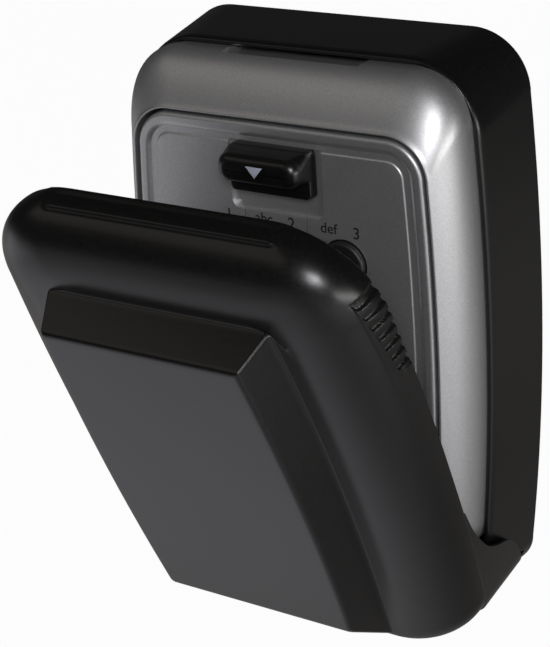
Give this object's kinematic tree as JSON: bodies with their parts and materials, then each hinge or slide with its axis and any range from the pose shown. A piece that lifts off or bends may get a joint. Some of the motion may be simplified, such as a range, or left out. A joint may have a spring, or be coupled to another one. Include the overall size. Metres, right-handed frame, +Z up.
{
  "type": "push-button key safe",
  "caption": "Wall-mounted push-button key safe with a drop-down keypad door, a sliding open lever and a fold-down weather cover that stands ajar.",
  "frame": {"origin": "centre of the four wall screws, on the face that lies against the wall", "axes": "+Z up, +Y into the wall, the keypad faces -Y"},
  "size_m": [0.0862, 0.0804, 0.1192],
  "materials": {
    "silver_paint": "silver metallic paint with a fine sparkle",
    "black_satin": "satin moulded plastic",
    "black_gloss": "polished moulded plastic",
    "pale_print": "printed",
    "steel": "plated",
    "brass": "turned"
  },
  "bodies": {
    "safe": {"rear_cover": "black_satin", "lock_body": "silver_paint", "latch_keeper": "steel", "door_hinge_pin": "steel"},
    "door": {"door_panel": "silver_paint", "mechanism_plate": "steel", "plate_screws": "steel", "button_springs": "steel", "lever_spring": "steel"},
    "lever": {"open_lever": "black_gloss", "lever_arrow": "pale_print", "lock_slide": "steel", "lever_screws": "steel"},
    "strip": {"hinge_strip": "black_satin"},
    "flap": {"cover_flap": "black_satin"},
    "button_body_1": {"button_1": "black_gloss"},
    "button_body_2": {"button_2": "black_gloss"},
    "button_body_3": {"button_3": "black_gloss"},
    "button_body_4": {"button_4": "black_gloss"},
    "button_body_5": {"button_5": "black_gloss"},
    "button_body_6": {"button_6": "black_gloss"},
    "button_body_7": {"button_7": "black_gloss"},
    "button_body_8": {"button_8": "black_gloss"},
    "button_body_9": {"button_9": "black_gloss"},
    "button_body_a": {"button_a": "black_gloss"},
    "button_body_0": {"button_0": "black_gloss"},
    "button_body_b": {"button_b": "black_gloss"},
    "selector_body_1": {"code_selector_1": "brass"},
    "selector_body_2": {"code_selector_2": "brass"},
    "selector_body_3": {"code_selector_3": "brass"},
    "selector_body_4": {"code_selector_4": "brass"},
    "selector_body_5": {"code_selector_5": "brass"},
    "selector_body_6": {"code_selector_6": "brass"},
    "selector_body_7": {"code_selector_7": "brass"},
    "selector_body_8": {"code_selector_8": "brass"},
    "selector_body_9": {"code_selector_9": "brass"},
    "selector_body_a": {"code_selector_a": "brass"},
    "selector_body_0": {"code_selector_0": "brass"},
    "selector_body_b": {"code_selector_b": "brass"}
  },
  "joints": [
    {"name": "cover_crease", "type": "hinge", "parent": "safe", "child": "strip", "pos_m": [0, -0.0051, -0.0572], "axis": [1, 0, 0], "range_deg": [-24.4, 35]},
    {"name": "flap_crease", "type": "hinge", "parent": "strip", "child": "flap", "pos_m": [0, -0.02287, -0.05845], "axis": [1, 0, 0], "range_deg": [0, 56]},
    {"name": "door_hinge", "type": "hinge", "parent": "safe", "child": "door", "pos_m": [0, -0.03, -0.0389], "axis": [1, 0, 0], "range_deg": [0, 80]},
    {"name": "lever_slide", "type": "slide", "parent": "door", "child": "lever", "axis": [0, 0, -1], "range_m": [0, 0.0022], "stiffness_N_per_m": 300, "springref_m": -0.004, "deforming": ["lever_spring"]},
    {"name": "press_1", "type": "slide", "parent": "door", "child": "button_body_1", "axis": [0, 1, 0], "range_m": [0, 0.002], "stiffness_N_per_m": 400, "springref_m": -0.002, "deforming": ["button_springs"]},
    {"name": "press_2", "type": "slide", "parent": "door", "child": "button_body_2", "axis": [0, 1, 0], "range_m": [0, 0.002], "stiffness_N_per_m": 400, "springref_m": -0.002, "deforming": ["button_springs"]},
    {"name": "press_3", "type": "slide", "parent": "door", "child": "button_body_3", "axis": [0, 1, 0], "range_m": [0, 0.002], "stiffness_N_per_m": 400, "springref_m": -0.002, "deforming": ["button_springs"]},
    {"name": "press_4", "type": "slide", "parent": "door", "child": "button_body_4", "axis": [0, 1, 0], "range_m": [0, 0.002], "stiffness_N_per_m": 400, "springref_m": -0.002, "deforming": ["button_springs"]},
    {"name": "press_5", "type": "slide", "parent": "door", "child": "button_body_5", "axis": [0, 1, 0], "range_m": [0, 0.002], "stiffness_N_per_m": 400, "springref_m": -0.002, "deforming": ["button_springs"]},
    {"name": "press_6", "type": "slide", "parent": "door", "child": "button_body_6", "axis": [0, 1, 0], "range_m": [0, 0.002], "stiffness_N_per_m": 400, "springref_m": -0.002, "deforming": ["button_springs"]},
    {"name": "press_7", "type": "slide", "parent": "door", "child": "button_body_7", "axis": [0, 1, 0], "range_m": [0, 0.002], "stiffness_N_per_m": 400, "springref_m": -0.002, "deforming": ["button_springs"]},
    {"name": "press_8", "type": "slide", "parent": "door", "child": "button_body_8", "axis": [0, 1, 0], "range_m": [0, 0.002], "stiffness_N_per_m": 400, "springref_m": -0.002, "deforming": ["button_springs"]},
    {"name": "press_9", "type": "slide", "parent": "door", "child": "button_body_9", "axis": [0, 1, 0], "range_m": [0, 0.002], "stiffness_N_per_m": 400, "springref_m": -0.002, "deforming": ["button_springs"]},
    {"name": "press_a", "type": "slide", "parent": "door", "child": "button_body_a", "axis": [0, 1, 0], "range_m": [0, 0.002], "stiffness_N_per_m": 400, "springref_m": -0.002, "deforming": ["button_springs"]},
    {"name": "press_0", "type": "slide", "parent": "door", "child": "button_body_0", "axis": [0, 1, 0], "range_m": [0, 0.002], "stiffness_N_per_m": 400, "springref_m": -0.002, "deforming": ["button_springs"]},
    {"name": "press_b", "type": "slide", "parent": "door", "child": "button_body_b", "axis": [0, 1, 0], "range_m": [0, 0.002], "stiffness_N_per_m": 400, "springref_m": -0.002, "deforming": ["button_springs"]},
    {"name": "code_turn_1", "type": "hinge", "parent": "button_body_1", "child": "selector_body_1", "pos_m": [-0.0147, -0.018, 0.0185], "axis": [0, 1, 0], "range_deg": [0, 180]},
    {"name": "code_turn_2", "type": "hinge", "parent": "button_body_2", "child": "selector_body_2", "pos_m": [0, -0.018, 0.0185], "axis": [0, 1, 0], "range_deg": [0, 180]},
    {"name": "code_turn_3", "type": "hinge", "parent": "button_body_3", "child": "selector_body_3", "pos_m": [0.0147, -0.018, 0.0185], "axis": [0, 1, 0], "range_deg": [0, 180]},
    {"name": "code_turn_4", "type": "hinge", "parent": "button_body_4", "child": "selector_body_4", "pos_m": [-0.0147, -0.018, 0.0029], "axis": [0, 1, 0], "range_deg": [0, 180]},
    {"name": "code_turn_5", "type": "hinge", "parent": "button_body_5", "child": "selector_body_5", "pos_m": [0, -0.018, 0.0029], "axis": [0, 1, 0], "range_deg": [0, 180]},
    {"name": "code_turn_6", "type": "hinge", "parent": "button_body_6", "child": "selector_body_6", "pos_m": [0.0147, -0.018, 0.0029], "axis": [0, 1, 0], "range_deg": [0, 180]},
    {"name": "code_turn_7", "type": "hinge", "parent": "button_body_7", "child": "selector_body_7", "pos_m": [-0.0147, -0.018, -0.0127], "axis": [0, 1, 0], "range_deg": [0, 180]},
    {"name": "code_turn_8", "type": "hinge", "parent": "button_body_8", "child": "selector_body_8", "pos_m": [0, -0.018, -0.0127], "axis": [0, 1, 0], "range_deg": [0, 180]},
    {"name": "code_turn_9", "type": "hinge", "parent": "button_body_9", "child": "selector_body_9", "pos_m": [0.0147, -0.018, -0.0127], "axis": [0, 1, 0], "range_deg": [0, 180]},
    {"name": "code_turn_a", "type": "hinge", "parent": "button_body_a", "child": "selector_body_a", "pos_m": [-0.0147, -0.018, -0.0283], "axis": [0, 1, 0], "range_deg": [0, 180]},
    {"name": "code_turn_0", "type": "hinge", "parent": "button_body_0", "child": "selector_body_0", "pos_m": [0, -0.018, -0.0283], "axis": [0, 1, 0], "range_deg": [0, 180]},
    {"name": "code_turn_b", "type": "hinge", "parent": "button_body_b", "child": "selector_body_b", "pos_m": [0.0147, -0.018, -0.0283], "axis": [0, 1, 0], "range_deg": [0, 180]}
  ],
  "couplings": [
    {"joint": "flap_crease", "follows": "door_hinge", "ratio": 0.7}
  ]
}
